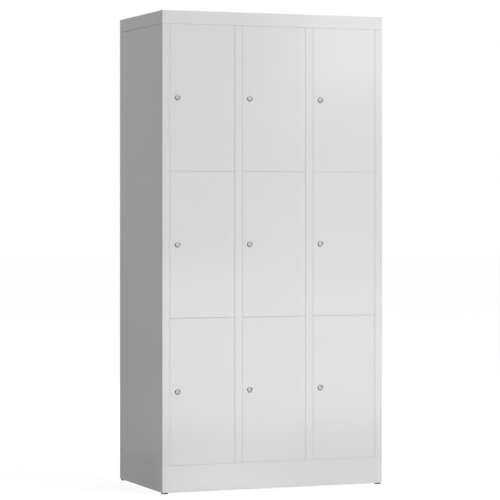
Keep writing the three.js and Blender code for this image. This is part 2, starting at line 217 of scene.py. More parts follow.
materials = {
    "powder_coat": makeMaterial(
        "powderCoat", skinGroup,
        {"Peel Scale": 650, "Peel Depth": 7e-6, "Wave Scale": 5, "Wave Depth": 1.5e-4,
         "Rough Low": 0.1, "Rough High": 0.13},
        darkTone=(0.712, 0.712, 0.712), lightTone=(0.728, 0.728, 0.728), metallic=0.0,
    ),
    "lock_chrome": makeMaterial(
        "lockChrome", skinGroup,
        {"Peel Scale": 900, "Peel Depth": 1.5e-6, "Wave Scale": 60, "Wave Depth": 1e-6,
         "Rough Low": 0.05, "Rough High": 0.11},
        darkTone=(0.52, 0.525, 0.53), lightTone=(0.58, 0.585, 0.59), metallic=1.0,
    ),
    "plug_nickel": makeMaterial(
        "plugNickel", skinGroup,
        {"Peel Scale": 1200, "Peel Depth": 4e-6, "Wave Scale": 90, "Wave Depth": 2e-6,
         "Rough Low": 0.35, "Rough High": 0.42},
        darkTone=(0.49, 0.49, 0.485), lightTone=(0.55, 0.55, 0.545), metallic=1.0,
    ),
    "zinc_plate": makeMaterial(
        "zincPlate", grainGroup,
        {"Across": 5200, "Along": 520, "Depth": 1.6e-6, "Rough Low": 0.3, "Rough High": 0.4},
        darkTone=(0.56, 0.58, 0.6), lightTone=(0.66, 0.68, 0.7), metallic=1.0,
    ),
    "bright_steel": makeMaterial(
        "brightSteel", grainGroup,
        {"Across": 2500, "Along": 40, "Depth": 3e-6, "Rough Low": 0.2, "Rough High": 0.34},
        darkTone=(0.55, 0.56, 0.57), lightTone=(0.64, 0.65, 0.66), metallic=1.0,
    ),
    "black_plastic": makeMaterial(
        "blackPlastic", skinGroup,
        {"Peel Scale": 2600, "Peel Depth": 2.5e-5, "Wave Scale": 80, "Wave Depth": 2e-5,
         "Rough Low": 0.42, "Rough High": 0.58},
        darkTone=(0.011, 0.011, 0.012), lightTone=(0.017, 0.017, 0.018), metallic=0.0,
    ),
}
print("materials made")


# Shaping steps that every piece shares
def startBlock(low, high):
    bm = bmesh.new()
    bmesh.ops.create_cube(bm, size=1.0)
    bmesh.ops.scale(bm, vec=high - low, verts=bm.verts)
    bmesh.ops.translate(bm, vec=(low + high) / 2, verts=bm.verts)
    return bm


def roundEdges(bm, edges, radius, segments):
    bmesh.ops.bevel(bm, geom=edges, offset=radius, offset_type="OFFSET", segments=segments,
                    profile=0.5, affect="EDGES", material=-1, clamp_overlap=True)


def flatFace(bm, direction):
    facing = [f for f in bm.faces if f.normal.dot(direction) > sameWay]
    return max(facing, key=lambda f: f.calc_area())


def turnTowards(bm, direction):
    bm.normal_update()
    largest = max(bm.faces, key=lambda f: f.calc_area())
    if largest.normal.dot(direction) < 0:
        bmesh.ops.reverse_faces(bm, faces=bm.faces)


# Pulls new faces out of open edges, and gives back what it adds
def pullEdges(bm, edges, step):
    added = bmesh.ops.extrude_edge_only(bm, edges=edges)["geom"]
    bmesh.ops.translate(bm, vec=step, verts=[v for v in added if isinstance(v, bmesh.types.BMVert)])
    return added


# Adds a line of edges across the piece at one depth
def cutAcross(bm, y, within=0.0):
    bmesh.ops.bisect_plane(bm, geom=bm.verts[:] + bm.edges[:] + bm.faces[:], dist=within,
                           plane_co=(0, y, 0), plane_no=yAxis)


# Carries a shape made round Z at the origin to its centre, with Z along the axis
def placedAlong(centre, axis):
    return Matrix.Translation(centre) @ axis.to_track_quat("Z", "Y").to_matrix().to_4x4()


# A strip of sheet along its fold lines, drawn on the outer skin; the wall grows inwards later
def foldStrip(points, radii, low, high, outward, segments=None):
    bm = bmesh.new()
    verts = [bm.verts.new((x, y, low)) for x, y in points]
    edges = [bm.edges.new(pair) for pair in zip(verts, verts[1:])]
    pullEdges(bm, edges, zAxis * (high - low))
    for (x, y), radius in zip(points[1:-1], radii):
        fold = [e for e in bm.edges if len(e.link_faces) == 2
                and all(abs(v.co.x - x) < near and abs(v.co.y - y) < near for v in e.verts)]
        roundEdges(bm, fold, radius, segments or steel["foldSegments"])
    turnTowards(bm, outward)
    return bm


# A closed block with one face opened, which its wall thickness then makes a tray
def openTray(low, high, mouth, marginAlong, marginAcross):
    bm = startBlock(low, high)
    roundEdges(bm, bm.edges[:], steel["outerRadius"], steel["foldSegments"])
    bm.normal_update()
    face = flatFace(bm, mouth)
    bmesh.ops.inset_individual(bm, faces=[face], use_even_offset=True,
                               thickness=marginAcross - steel["outerRadius"])
    middle = face.calc_center_median()
    for vert in face.verts:
        vert.co.x += math.copysign(marginAlong - marginAcross, middle.x - vert.co.x)
    return bm, face


def spinProfile(bm, profile, centre, axis, steps, closed=False):
    side = yAxis if abs(axis.x) > 0.5 else xAxis
    verts = [bm.verts.new(centre + side * r + axis * h) for r, h in profile]
    edges = [bm.edges.new(pair) for pair in zip(verts, verts[1:])]
    if closed:
        edges.append(bm.edges.new((verts[-1], verts[0])))
    bmesh.ops.spin(bm, geom=verts + edges, cent=centre, axis=axis, angle=math.tau, steps=steps,
                   use_merge=True, use_normal_flip=False, use_duplicate=False)
    bmesh.ops.remove_doubles(bm, verts=bm.verts, dist=near)


def hexRadius(across):  # the radius at the corners of a hexagon that is this wide across its flats
    return across / 2 / math.cos(math.pi / hexSides)


# Rounds the ring of edges at one radius and height of a turned piece
def roundRing(bm, centre, axis, radius, height, amount, segments):
    ring = []
    for edge in bm.edges:
        arms = [v.co - centre for v in edge.verts]
        if all(abs(a.dot(axis) - height) < 2 * near
               and abs((a - axis * a.dot(axis)).length - radius) < 2 * near for a in arms):
            ring.append(edge)
    roundEdges(bm, ring, amount, segments)


# A separate solid, for a boolean cut and gone after it
def solidFrom(bm):
    bmesh.ops.recalc_face_normals(bm, faces=bm.faces)
    mesh = bpy.data.meshes.new("solid")
    bm.to_mesh(mesh)
    bm.free()
    solid = bpy.data.objects.new("solid", mesh)
    bpy.context.scene.collection.objects.link(solid)
    return solid


def addRound(bm, matrix, radius, length, sides, capped=True):
    bmesh.ops.create_cone(bm, cap_ends=capped, segments=sides, radius1=radius, radius2=radius,
                          depth=length, matrix=matrix)


def holeCutter(centre, radius, length):
    bm = bmesh.new()
    addRound(bm, placedAlong(centre, zAxis), radius, length, holeSides)
    return solidFrom(bm)


# Wall thickness and holes are applied, so that each piece ends as one plain mesh
def settleMesh(piece, thickness, cutters):
    if thickness:
        wall = piece.modifiers.new("wall", "SOLIDIFY")
        wall.thickness = thickness
        wall.offset = -1
        wall.use_even_offset = True
        wall.use_quality_normals = True
    for cutter in cutters:
        cut = piece.modifiers.new("hole", "BOOLEAN")
        cut.operation = "DIFFERENCE"
        cut.solver = "EXACT"
        cut.object = cutter
    if piece.modifiers:
        graph = bpy.context.evaluated_depsgraph_get()
        settled = bpy.data.meshes.new_from_object(piece.evaluated_get(graph))
        piece.modifiers.clear()
        piece.data = settled
    for cutter in cutters:
        bpy.data.objects.remove(cutter)


def joinMesh(bm, other):
    carrier = bpy.data.meshes.new("carrier")
    other.to_mesh(carrier)
    other.free()
    bm.from_mesh(carrier)
    bpy.data.meshes.remove(carrier)


# A weld dimple: the raised rim that the electrode leaves, under the paint
weld = {
    "radius": 3.2 * mm, "rim": 0.28 * mm, "sides": 16,
    "foot": 1.1, "crest": 0.88, "dish": 0.7,  # shares of the radius
    "dishRise": 0.3, "middleRise": 0.2,  # shares of the rim
}


def addWelds(bm, places, outward):
    r, rim = weld["radius"], weld["rim"]
    foot, crest, dish = r * weld["foot"], r * weld["crest"], r * weld["dish"]
    profile = [(0, -rim), (foot, -rim), (foot, 0), (crest, rim), (dish, rim * weld["dishRise"]),
               (0, rim * weld["middleRise"])]
    for place in places:
        spot = bmesh.new()
        spinProfile(spot, profile, place, outward, weld["sides"])
        bmesh.ops.recalc_face_normals(spot, faces=spot.faces)
        joinMesh(bm, spot)


def slotOf(node):
    return next(p["material_slot"] for p in frame["record"]["subparts"] if p["node"] == node)


def bodyOf(node):
    return next(b for b, nodes in frame["record"]["behaviour"]["bodies"].items() if node in nodes)


# Ends a piece: walls and holes, added solids and welds, shading, finish, and what it stands for
def makePiece(name, bm, node, thickness=0.0, cutters=(), welds=(), weldOutward=None, extra=()):
    mesh = bpy.data.meshes.new(name)
    bm.to_mesh(mesh)
    bm.free()
    piece = bpy.data.objects.new(name, mesh)
    bpy.context.scene.collection.objects.link(piece)
    settleMesh(piece, thickness, cutters)
    done = bmesh.new()
    done.from_mesh(piece.data)
    for solid in extra:
        joinMesh(done, solid)
    if welds:
        addWelds(done, welds, weldOutward)
    for face in done.faces:
        face.smooth = True
    for edge in done.edges:
        edge.smooth = edge.is_manifold and edge.calc_face_angle(0) < sharpAngle
    done.to_mesh(piece.data)
    done.free()
    piece.data.materials.clear()
    slot = slotOf(node)
    piece.data.materials.append(materials[slot])
    weighted = piece.modifiers.new("weightedNormals", "WEIGHTED_NORMAL")
    weighted.keep_sharp = True
    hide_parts(node)
    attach(piece, bodyOf(node))
    return piece


# Hinge rods, which run through all three doors of a column
rod = {
    "radius": 2.0 * mm, "holeRadius": 2.3 * mm, "endRound": 0.6 * mm, "steps": 24,
    "tail": 8.0 * mm, "clipRadius": 3.6 * mm, "clipThickness": 1.0 * mm,
    "clipGrip": 0.1 * mm, "crownGap": 0.35 * mm,
    "dishWidth": 0.78,  # share of the clip's radius
    "rimRise": 0.4, "dishRise": 0.45,  # shares of its thickness
}


def rodPlace(column):
    low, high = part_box(f"hinge_rod_{column}")
    middle = (low + high) / 2
    return Vector((middle.x, middle.y, 0)), low.z, high.z


def makeRod(column):
    centre, low, high = rodPlace(column)
    r, clip = rod["radius"], high - rod["tail"] - rod["clipThickness"]
    bm = bmesh.new()
    shaft = [(0, low), (r, low), (r, clip), (r, high), (0, high)]
    spinProfile(bm, shaft, centre, zAxis, rod["steps"])
    for end in (low, high):
        roundRing(bm, centre, zAxis, r, end, rod["endRound"], fewSteps)
    # the push-on clip: a dished disc with a raised crown that grips the rod
    c, t, grip = rod["clipRadius"], rod["clipThickness"], r - rod["clipGrip"]
    ring = [(grip, clip), (c, clip), (c, clip + t * rod["rimRise"]),
            (c * rod["dishWidth"], clip + t * rod["dishRise"]),
            (r + rod["crownGap"], clip + t), (grip, clip + t)]
    spinProfile(bm, ring, centre, zAxis, rod["steps"], closed=True)
    bmesh.ops.recalc_face_normals(bm, faces=bm.faces)
    makePiece(f"rod_{column}", bm, f"hinge_rod_{column}")


for column in columns:
    makeRod(column)
print("hinge rods made")


# Sides and uprights, each folded with its front post; the cap's lip turns in over them
post = {
    "face": 30 * mm, "returnDepth": 21 * mm, "stopFlange": 12 * mm, "rearFlange": 15 * mm,
    "endPlay": 0.12 * mm, "flankDrop": 0.4 * mm, "flankGrow": 0.3 * mm, "fit": 0.3 * mm,
}
cap = {"lip": 25 * mm, "cutLength": 6 * mm}


def postLines(x, front, rear, hand):
    return [
        (x + post["rearFlange"] * hand, rear),
        (x, rear),
        (x, front),
        (x + post["face"] * hand, front),
        (x + post["face"] * hand, front + post["returnDepth"]),
        (x + post["face"] * hand + post["stopFlange"], front + post["returnDepth"]),
    ]


def makeSide(name, node, hand):
    low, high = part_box(node)
    x = low.x if hand > 0 else high.x
    outer, inner = steel["outerRadius"], steel["innerRadius"]
    radii = [outer, outer, outer, inner if hand > 0 else outer]
    bottom, top, middle = low.z + post["endPlay"], high.z - post["endPlay"], (low.z + high.z) / 2
    bm = foldStrip(postLines(x, low.y, high.y, hand), radii, bottom, top, -xAxis * hand)
    for vert in bm.verts:  # the flank stands lower than the post at both of its ends
        if abs(vert.co.x - x) < near:
            vert.co.z -= post["flankDrop"] if vert.co.z > middle else post["flankGrow"]
    makePiece(name, bm, node, steel["thickness"])


def makeUpright(name, node):
    low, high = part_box(node)
    capLow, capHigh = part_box("top_cap")
    shoulder = capLow.z - post["fit"] - post["endPlay"]
    outer, inner = steel["outerRadius"], steel["innerRadius"]
    bm = foldStrip(postLines(low.x, low.y, high.y, 1), [outer, outer, outer, inner],
                   low.z + post["endPlay"], shoulder, -xAxis)
    lip = cap["lip"] + post["fit"]
    front, rear = capLow.y + lip, capHigh.y - lip
    for y in (front, rear):
        cutAcross(bm, y)
    rising = [e for e in bm.edges if e.is_boundary  # the sheet rises between the cap's lips
              and all(abs(v.co.z - shoulder) < near and abs(v.co.x - low.x) < near for v in e.verts)
              and all(front - near < v.co.y < rear + near for v in e.verts)]
    pullEdges(bm, rising, zAxis * (high.z - shoulder))
    bmesh.ops.recalc_face_normals(bm, faces=bm.faces)
    turnTowards(bm, -xAxis)
    makePiece(name, bm, node, steel["thickness"])


makeSide("side_sheet_left", "left_side_panel", 1)
makeSide("side_sheet_right", "right_side_panel", -1)
makeUpright("upright_sheet_left", "left_upright")
makeUpright("upright_sheet_right", "right_upright")
print("sides and uprights made")


# Cap and plinth, trays with their rims turned in
def rodHoles(z, length):
    return [holeCutter(rodPlace(c)[0] + zAxis * z, rod["holeRadius"], length) for c in columns]


def makeCap():
    low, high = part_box("top_cap")
    bm, mouth = openTray(low, high, -zAxis, cap["lip"], cap["lip"])
    bmesh.ops.delete(bm, geom=[mouth], context="FACES_ONLY")
    cutters = rodHoles(low.z, cap["cutLength"])
    makePiece("cap_tray", bm, "top_cap", steel["thickness"], cutters)


plinth = {
    "lip": 30 * mm, "gusset": 30 * mm, "boreRadius": 4.3 * mm, "cutLength": 6 * mm,
    "nutAcross": 13 * mm, "nutHeight": 6.5 * mm, "nutRound": 0.5 * mm,
}


def footPlace(corner):
    low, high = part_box(f"foot_pad_{corner}")
    middle = (low + high) / 2
    return Vector((middle.x, middle.y, 0))


def makePlinth():
    low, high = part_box("base_plinth")
    bm, mouth = openTray(low, high, -zAxis, plinth["lip"], plinth["lip"])
    bmesh.ops.bevel(bm, geom=mouth.verts[:], offset=plinth["gusset"], offset_type="OFFSET",
                    segments=1, profile=0.5, affect="VERTICES", material=-1, clamp_overlap=True)
    bm.normal_update()
    bmesh.ops.delete(bm, geom=[flatFace(bm, -zAxis)], context="FACES_ONLY")
    cutters = rodHoles(high.z, plinth["cutLength"])
    cutters += [holeCutter(footPlace(c) + zAxis * low.z, plinth["boreRadius"], plinth["cutLength"])
                for c in corners]
    nuts = [weldNut(footPlace(c), low.z + steel["thickness"]) for c in corners]
    makePiece("plinth_tray", bm, "base_plinth", steel["thickness"], cutters, extra=nuts)


# A weld nut over a foot, with its bore and a chamfered hexagon
def weldNut(centre, low):
    bm = bmesh.new()
    radius = hexRadius(plinth["nutAcross"])
    top = low + plinth["nutHeight"]
    middle = Matrix.Translation(centre + zAxis * (low + top) / 2)
    addRound(bm, middle, radius, top - low, hexSides, capped=False)
    for level in (low, top):
        outer = [e for e in bm.edges if all(abs(v.co.z - level) < near for v in e.verts)]
        rim = bmesh.ops.extrude_edge_only(bm, edges=outer)["geom"]
        inner = [v for v in rim if isinstance(v, bmesh.types.BMVert)]
        scale = plinth["boreRadius"] / radius
        bmesh.ops.scale(bm, vec=(scale, scale, 1), verts=inner, space=Matrix.Translation(-centre))
    bores = [e for e in bm.edges if e.is_boundary]
    bmesh.ops.bridge_loops(bm, edges=bores)
    rims = [e for e in bm.edges if e.calc_face_angle(0) > sharpAngle
            and all((v.co - centre).xy.length > plinth["nutAcross"] / 2 - near for v in e.verts)]
    roundEdges(bm, rims, plinth["nutRound"], fewSteps)
    bmesh.ops.recalc_face_normals(bm, faces=bm.faces)
    return bm


makeCap()
makePlinth()
print("cap and plinth made")


# Back panel, spot welded to the flanges before it
back = {"weldPitch": 150 * mm, "shelfWelds": (0.15, 0.5, 0.85), "edgeRound": 0.2 * mm}


def makeBack():
    low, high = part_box("back_panel")
    bm = startBlock(low, high)
    roundEdges(bm, bm.edges[:], back["edgeRound"], fewSteps)
    places = []
    for node in ("left_upright", "right_upright"):
        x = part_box(node)[0].x + post["rearFlange"] / 2
        count = int((high.z - low.z) / back["weldPitch"])
        for step in range(count):
            z = low.z + (high.z - low.z) * (step + 0.5) / count
            places.append(Vector((x, high.y, z)))
    for column in columns:
        for level in ("lower", "upper"):
            shelfLow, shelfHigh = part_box(f"shelf_{level}_{column}")
            for share in back["shelfWelds"]:
                x = shelfLow.x + (shelfHigh.x - shelfLow.x) * share
                places.append(Vector((x, high.y, shelfHigh.z - post["rearFlange"] / 2)))
    makePiece("back_sheet", bm, "back_panel", welds=places, weldOutward=yAxis)


makeBack()
print("back panel made")


# Shelves, turned down all round, each with a tongue that holds the hinge rod
shelf = {
    "lip": 20 * mm, "lipReturn": 8 * mm, "flange": 15 * mm, "relief": 2 * mm, "tongueWeb": 4 * mm,
    "coinStart": 1.5 * mm, "coinReach": 0.01 * mm, "coined": 0.5, "cutLength": 4 * mm,
}


def makeShelf(level, column):
    node = f"shelf_{level}_{column}"
    low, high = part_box(node)
    place = rodPlace(column)[0]
    relief, top = shelf["relief"], high.z
    half = rod["holeRadius"] + shelf["tongueWeb"]
    front = shelfFront(node)
    slot = place.x - half - relief
    outline = [
        (low.x + relief, front), (slot, front), (slot, front + relief),
        (place.x - half, front + relief), (place.x - half, low.y), (place.x + half, low.y),
        (place.x + half, front + relief), (high.x, front + relief), (high.x, high.y - relief),
        (high.x - relief, high.y - relief), (high.x - relief, high.y), (low.x + relief, high.y),
        (low.x + relief, high.y - relief), (low.x, high.y - relief), (low.x, front + relief),
        (low.x + relief, front + relief),
    ]
    bm = bmesh.new()
    plate = bm.faces.new([bm.verts.new((x, y, top)) for x, y in outline])
    edges = list(plate.edges)
    frontEdge, flangeEdges = edges[0], [edges[7], edges[10], edges[13]]  # right, rear and left
    lip = pullEdges(bm, [frontEdge], -zAxis * shelf["lip"])
    lower = [e for e in lip if isinstance(e, bmesh.types.BMEdge) and e.is_boundary
             and all(v.co.z < top - shelf["lip"] / 2 for v in e.verts)]
    pullEdges(bm, lower, yAxis * shelf["lipReturn"])
    for edge in flangeEdges:
        pullEdges(bm, [edge], -zAxis * shelf["flange"])
    roundEdges(bm, [frontEdge, *lower, *flangeEdges], steel["outerRadius"], steel["foldSegments"])
    root = front + relief
    for y in (root, root - shelf["coinStart"]):
        cutAcross(bm, y, near)
    bmesh.ops.recalc_face_normals(bm, faces=bm.faces)
    turnTowards(bm, zAxis)
    middle = top - steel["thickness"] / 2
    cutters = [holeCutter(place + zAxis * middle, rod["holeRadius"], shelf["cutLength"])]
    piece = makePiece(f"shelf_sheet_{level}_{column}", bm, node, steel["thickness"], cutters)
    coinTongue(piece, Vector((place.x, root - shelf["coinStart"], middle)), half)


# The tongue is coined thin, so that the doors above and below it can nearly meet
def coinTongue(piece, start, half):
    bm = bmesh.new()
    bm.from_mesh(piece.data)
    reach, thick = shelf["coinReach"], steel["thickness"]
    tongue = [v for v in bm.verts if abs(v.co.x - start.x) < half + reach
              and v.co.y < start.y + reach and abs(v.co.z - start.z) < thick]
    bmesh.ops.scale(bm, vec=(1, 1, shelf["coined"]), verts=tongue,
                    space=Matrix.Translation((0, 0, -start.z)))
    bm.to_mesh(piece.data)
    bm.free()


# The front fold of a shelf, read from the node: the most forward points of its lower lip
def shelfFront(node):
    low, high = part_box(node)
    return min(v.co.y for v in frame["nodes"][node].data.vertices if v.co.z < (low.z + high.z) / 2)


for column in columns:
    for level in ("lower", "upper"):
        makeShelf(level, column)
print("shelves made")


# Doors, pans with turned-in rims and a welded hat profile
door = {
    "sideLip": 15 * mm, "endLip": 12 * mm, "cutLength": 4 * mm,
    "growLock": 0.85 * mm, "growHinge": 0.5 * mm, "growEnd": 0.42 * mm,  # how far the gaps close
    "hatWidth": 26 * mm, "hatDepth": 13.8 * mm, "hatFlare": 3 * mm, "hatFoot": 12 * mm,
    "hatEndGap": 24 * mm, "hatGap": 0.02 * mm, "hatSegments": 3, "welds": 7,
    "lockHoleRadius": 9.3 * mm, "lockHoleFlat": 8.3 * mm, "lockHoleSides": 32,
}


def makeDoor(cell):
    node = f"door_{cell}"
    low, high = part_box(node)
    low = low - Vector((door["growLock"], 0, door["growEnd"]))
    high = high + Vector((door["growHinge"], 0, door["growEnd"]))
    bm, mouth = openTray(low, high, yAxis, door["sideLip"], door["endLip"])
    bmesh.ops.delete(bm, geom=[mouth], context="FACES_ONLY")
    middle = (low.x + high.x) / 2
    half, foot = door["hatWidth"] / 2, door["hatFoot"]
    spread = half + door["hatFlare"]
    base = low.y + steel["thickness"] + door["hatGap"]
    crest = base + door["hatDepth"]
    hatLow, hatHigh = low.z + door["hatEndGap"], high.z - door["hatEndGap"]
    hat = foldStrip(
        [(middle - spread - foot, base), (middle - spread, base), (middle - half, crest),
         (middle + half, crest), (middle + spread, base), (middle + spread + foot, base)],
        [steel["outerRadius"], steel["innerRadius"], steel["innerRadius"], steel["outerRadius"]],
        hatLow, hatHigh, -yAxis, door["hatSegments"],
    )
    joinMesh(bm, hat)
    axis = rodPlace(cell.split("_")[1])[0]
    cutters = [holeCutter(axis + zAxis * z, rod["holeRadius"], door["cutLength"])
               for z in (low.z, high.z)]
    cutters.append(lockCutter(lockPlace(cell)))
    welds = []
    for step in range(door["welds"]):
        z = hatLow + (hatHigh - hatLow) * (step + 0.5) / door["welds"]
        for side in (-1, 1):
            x = middle + side * (spread + foot / 2)
            welds.append(Vector((x, base + steel["thickness"], z)))
    makePiece(f"door_leaf_{cell}", bm, node, steel["thickness"], cutters, welds, yAxis)


def lockPlace(cell):
    low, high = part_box(f"lock_housing_{cell}")
    middle = (low + high) / 2
    return Vector((middle.x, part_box(f"door_{cell}")[0].y, middle.z))


# Presses the sides of a round shape flat, at the same distance left and right of its centre
def flattenSides(verts, centre, flat):
    for vert in verts:
        vert.co.x = centre.x + max(-flat, min(flat, vert.co.x - centre.x))


def lockCutter(centre):
    bm = bmesh.new()
    addRound(bm, placedAlong(centre, yAxis), door["lockHoleRadius"], door["cutLength"],
             door["lockHoleSides"])
    flattenSides(bm.verts, centre, door["lockHoleFlat"])
    bmesh.ops.remove_doubles(bm, verts=bm.verts, dist=near)
    return solidFrom(bm)


for cell in cells:
    makeDoor(cell)
print("doors made")


# Cam locks: the housing with its barrel nut, the plug with its screw, and the cam
housing = {
    "headRadius": 11.5 * mm, "headProud": 3.5 * mm, "bezel": 4.7 * mm, "skirt": 0.6 * mm,
    "seat": 0.03 * mm, "crownRound": 0.5 * mm, "skirtRound": 0.4 * mm, "boreRound": 0.2 * mm,
    "barrelRadius": 9 * mm, "barrelFlat": 8 * mm, "barrelEnd": 20 * mm, "boreRadius": 6.12 * mm,
    "flatStart": 0.1 * mm, "threadStart": 1.2 * mm, "threadPitch": 1.25 * mm,
    "threadDepth": 0.55 * mm, "steps": 40,
}


def makeHousing(cell):
    centre = lockPlace(cell)
    bm = bmesh.new()
    bore, head, barrel = housing["boreRadius"], housing["headRadius"], housing["barrelRadius"]
    proud, skirt, seat = -housing["headProud"], -housing["skirt"], -housing["seat"]
    crown = head - housing["bezel"]
    root = barrel - housing["threadDepth"]
    y, pitch, end = housing["threadStart"], housing["threadPitch"], housing["barrelEnd"]
    profile = [(bore, proud), (crown, proud), (head, skirt), (head, seat),
               (barrel, seat), (barrel, y)]
    while y + pitch < end:
        profile += [(root, y + pitch / 2), (barrel, y + pitch)]
        y += pitch
    profile += [(root, end), (bore, end)]
    spinProfile(bm, profile, centre, yAxis, housing["steps"], closed=True)
    # two flats stop the barrel from turning in the door
    behind = [v for v in bm.verts if v.co.y > centre.y + housing["flatStart"]]
    flattenSides(behind, centre, housing["barrelFlat"])
    roundRing(bm, centre, yAxis, crown, proud, housing["crownRound"], manySteps)
    roundRing(bm, centre, yAxis, head, skirt, housing["skirtRound"], someSteps)
    roundRing(bm, centre, yAxis, bore, proud, housing["boreRound"], fewSteps)
    joinMesh(bm, barrelNut(centre))
    bmesh.ops.recalc_face_normals(bm, faces=bm.faces)
    makePiece(f"lock_body_{cell}", bm, f"lock_housing_{cell}")


nut = {"across": 22 * mm, "thickness": 4 * mm, "gap": 0.1 * mm, "round": 0.5 * mm}


def barrelNut(centre):
    bm = bmesh.new()
    middle = centre + yAxis * (steel["thickness"] + nut["gap"] + nut["thickness"] / 2)
    addRound(bm, placedAlong(middle, yAxis), hexRadius(nut["across"]), nut["thickness"], hexSides)
    roundEdges(bm, bm.edges[:], nut["round"], fewSteps)
    return bm


cam = {
    "front": 22.3 * mm, "thickness": 2 * mm, "reach": 32 * mm, "hubRadius": 9 * mm,
    "tipRadius": 6 * mm, "round": 0.25 * mm, "holePlay": 0.1 * mm, "sides": 40,
    "sameFace": math.radians(1),  # faces that turn less than this are one
}
plug = {
    "radius": 6 * mm, "recess": 0.8 * mm, "frontRound": 0.5 * mm, "camGap": 0.1 * mm, "steps": 40,
    "keywayWidth": 2 * mm, "keywayHeight": 8 * mm, "keywayDepth": 9 * mm, "keywayRound": 0.9 * mm,
    "ward": 0.6 * mm, "wardStart": 0.1 * mm, "wardLow": -1.2 * mm, "wardHigh": 0.6 * mm,
    "wardDepth": 8.1 * mm, "tenon": 7 * mm, "tenonPast": 0.15 * mm, "overlap": 0.2 * mm,
    "cutPast": 1 * mm,  # how far a cutter starts before the surface
}


def makePlug(cell):
    centre = lockPlace(cell)
    front = plug["recess"] - housing["headProud"]
    shoulder = cam["front"] - plug["camGap"]
    r = plug["radius"]
    bm = bmesh.new()
    core = [(0, front), (r, front), (r, shoulder), (0, shoulder)]
    spinProfile(bm, core, centre, yAxis, plug["steps"])
    roundRing(bm, centre, yAxis, r, front, plug["frontRound"], someSteps)
    bmesh.ops.recalc_face_normals(bm, faces=bm.faces)
    width, height = plug["keywayWidth"] / 2, plug["keywayHeight"] / 2
    cutFront, wardEnd = front - plug["cutPast"], front + plug["wardDepth"]
    keyway = startBlock(centre + Vector((-width, cutFront, -height)),
                        centre + Vector((width, front + plug["keywayDepth"], height)))
    inward = [e for e in keyway.edges if abs(e.verts[0].co.y - e.verts[1].co.y) > plug["cutPast"]]
    roundEdges(keyway, inward, plug["keywayRound"], manySteps)
    sideWard = startBlock(centre + Vector((width - plug["wardStart"], cutFront, plug["wardLow"])),
                          centre + Vector((width + plug["ward"], wardEnd, plug["wardHigh"])))
    half, end = plug["tenon"] / 2, cam["front"] + cam["thickness"] + plug["tenonPast"]
    tenon = startBlock(centre + Vector((-half, shoulder - plug["overlap"], -half)),
                       centre + Vector((half, end + plug["overlap"], half)))
    cutters = [solidFrom(keyway), solidFrom(sideWard)]
    makePiece(f"lock_core_{cell}", bm, f"lock_plug_{cell}", cutters=cutters,
              extra=[tenon, camScrew(centre, end)])


# The screw on the tenon: a domed head with a cross recess
screw = {
    "radius": 5.5 * mm, "thickness": 2.5 * mm, "dome": 0.9 * mm, "steps": 24,
    "crossLong": 2.6 * mm, "crossShort": 0.5 * mm, "crossDepth": 1.4 * mm, "cutPast": 1 * mm,
}


def camScrew(centre, front):
    r, top = screw["radius"], front + screw["thickness"]
    bm = bmesh.new()
    spinProfile(bm, [(0, front), (r, front), (r, top), (0, top)], centre, yAxis, screw["steps"])
    roundRing(bm, centre, yAxis, r, top, screw["dome"], someSteps)
    head = solidFrom(bm)
    long, short = screw["crossLong"], screw["crossShort"]
    arms = [startBlock(centre + Vector((-a, top - screw["crossDepth"], -b)),
                       centre + Vector((a, top + screw["cutPast"], b)))
            for a, b in ((long, short), (short, long))]
    settleMesh(head, 0, [solidFrom(arm) for arm in arms])
    bm = bmesh.new()
    bm.from_mesh(head.data)
    bpy.data.objects.remove(head)
    return bm


def makeCam(cell):
    centre = lockPlace(cell)
    front, thick = cam["front"], cam["thickness"]
    bm = bmesh.new()
    drop = cam["reach"] - cam["tipRadius"]
    for radius, lowered in ((cam["hubRadius"], 0), (cam["tipRadius"], drop)):
        middle = centre + yAxis * (front + thick / 2) - zAxis * lowered
        addRound(bm, placedAlong(middle, yAxis), radius, thick, cam["sides"])
    hull = bmesh.ops.convex_hull(bm, input=bm.verts[:])
    bmesh.ops.delete(bm, geom=[v for v in hull["geom_interior"] if v.is_valid], context="VERTS")
    bmesh.ops.dissolve_limit(bm, angle_limit=cam["sameFace"], verts=bm.verts, edges=bm.edges)
    rims = [e for e in bm.edges if e.calc_face_angle(0) > sharpAngle]
    roundEdges(bm, rims, cam["round"], fewSteps)
    bmesh.ops.recalc_face_normals(bm, faces=bm.faces)
    hole = plug["tenon"] / 2 + cam["holePlay"]
    square = startBlock(centre + Vector((-hole, front - plug["cutPast"], -hole)),
                        centre + Vector((hole, front + thick + plug["cutPast"], hole)))
    makePiece(f"lock_blade_{cell}", bm, f"lock_cam_{cell}", cutters=[solidFrom(square)])


for cell in cells:
    makeHousing(cell)
    makePlug(cell)
    makeCam(cell)
print("locks made")


# Levelling feet: a moulded pad, and a threaded stud slotted for a screwdriver
pad = {
    "radius": 13.2 * mm, "footRound": 1.0 * mm, "footRise": 0.9 * mm,
    "shoulderDrop": 1.2 * mm, "shoulderWidth": 1.6 * mm, "shoulderRound": 0.5 * mm,
    "socketRadius": 4.15 * mm, "socketFloor": 1.7 * mm, "mouthWidth": 1.2 * mm,
    "mouthDepth": 0.5 * mm, "steps": 40,
}
stud = {
    "radius": 4 * mm, "threadPitch": 1.25 * mm, "threadDepth": 0.6 * mm, "threadEnd": 0.6 * mm,
    "tipTaper": 0.3 * mm, "slotHalfLength": 5 * mm, "slotHalfWidth": 0.6 * mm,
    "slotDepth": 1.2 * mm, "cutPast": 1 * mm, "steps": 24,
}


